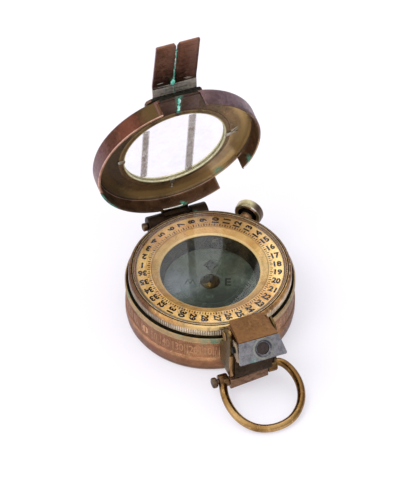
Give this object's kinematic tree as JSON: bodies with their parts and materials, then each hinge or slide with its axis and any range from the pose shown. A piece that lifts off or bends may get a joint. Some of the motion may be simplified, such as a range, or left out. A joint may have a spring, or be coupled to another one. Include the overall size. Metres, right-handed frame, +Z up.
{
  "type": "magnetic compass",
  "caption": "Round brass marching compass with a floating card, turning bezel, hinged sighting lid with tongue, folding prism and thumb ring.",
  "frame": {"origin": "centre of the flat underside of the case", "axes": "+Z up out of the dial, +Y towards the lid hinge, -Y towards the prism and thumb ring, +X to the right"},
  "size_m": [0.0608, 0.1047, 0.1002],
  "materials": {
    "case": "aged brown bronze patina, satin",
    "bezel": "worn bright brass, fine knurl",
    "scale": "engraved gold-coloured scale, satin",
    "lid": "aged brown bronze patina with green verdigris",
    "fittings": "aged brass, rubbed",
    "zinc": "dull grey worn plate",
    "ring": "polished brass wire, worn",
    "steel": "dark oxidised steel",
    "glass": "clear, slightly aged",
    "gasket": "matte black",
    "card": "grey-green shell-like card",
    "jewel": "ruby cup",
    "strip": "dull grey aged strip"
  },
  "bodies": {
    "root": {"case_body": "case", "base_plate": "case", "base_screws": "steel", "capsule_bowl": "scale", "capsule_gasket": "gasket", "dial_glass": "glass", "expansion_diaphragm": "scale", "pivot_post": "steel", "number_ring": "scale", "hinge_base": "case", "hinge_pin": "fittings", "clamp_lug": "case", "slide_rail": "case", "rail_screws": "steel", "ring_bracket": "case", "ring_pin": "fittings", "filler_plug": "steel"},
    "bezel": {"bezel_ring": "bezel", "bezel_glass": "glass", "bezel_gasket": "gasket"},
    "card": {"dial_card": "card", "card_hub": "scale", "jewel_cup": "jewel", "magnet_bars": "steel"},
    "lid": {"lid_shell": "lid", "lid_glass": "glass", "glass_retainer": "fittings", "glass_claws": "fittings", "sight_strips": "strip", "sight_tongue": "lid", "tongue_rivets": "fittings", "lid_leaf": "lid", "leaf_rivets": "fittings"},
    "clamp": {"clamp_screw": "steel", "clamp_knob": "fittings"},
    "carriage": {"slide_carriage": "fittings", "prism_spring": "fittings", "prism_pivots": "steel"},
    "prism": {"prism_case": "fittings", "eyepiece_plate": "zinc", "prism_glass": "glass", "eye_lens": "glass", "housing_screws": "steel"},
    "ring": {"thumb_ring": "ring"}
  },
  "joints": [
    {"name": "lid_hinge", "type": "hinge", "parent": "root", "child": "lid", "pos_m": [0, 0.033, 0.01445], "axis": [-1, 0, 0], "range_deg": [-79.8, 95]},
    {"name": "bezel_turn", "type": "hinge", "parent": "root", "child": "bezel", "pos_m": [0, 0, 0.019], "axis": [0, 0, 1], "continuous": true},
    {"name": "card_spin", "type": "hinge", "parent": "root", "child": "card", "pos_m": [0, 0, 0.0143], "axis": [0, 0, 1], "continuous": true},
    {"name": "clamp_turn", "type": "hinge", "parent": "root", "child": "clamp", "pos_m": [0.02418, 0.02418, 0.0174], "axis": [0.7071, 0.7071, 0], "range_deg": [0, 180]},
    {"name": "focus_slide", "type": "slide", "parent": "root", "child": "carriage", "axis": [0, 0, 1], "range_m": [0, 0.004]},
    {"name": "prism_fold", "type": "hinge", "parent": "carriage", "child": "prism", "pos_m": [0, -0.036, 0.0256], "axis": [-1, 0, 0], "range_deg": [0, 180]},
    {"name": "ring_swing", "type": "hinge", "parent": "root", "child": "ring", "pos_m": [0, -0.0386, 0.0062], "axis": [-1, 0, 0], "range_deg": [-78, 45]}
  ]
}
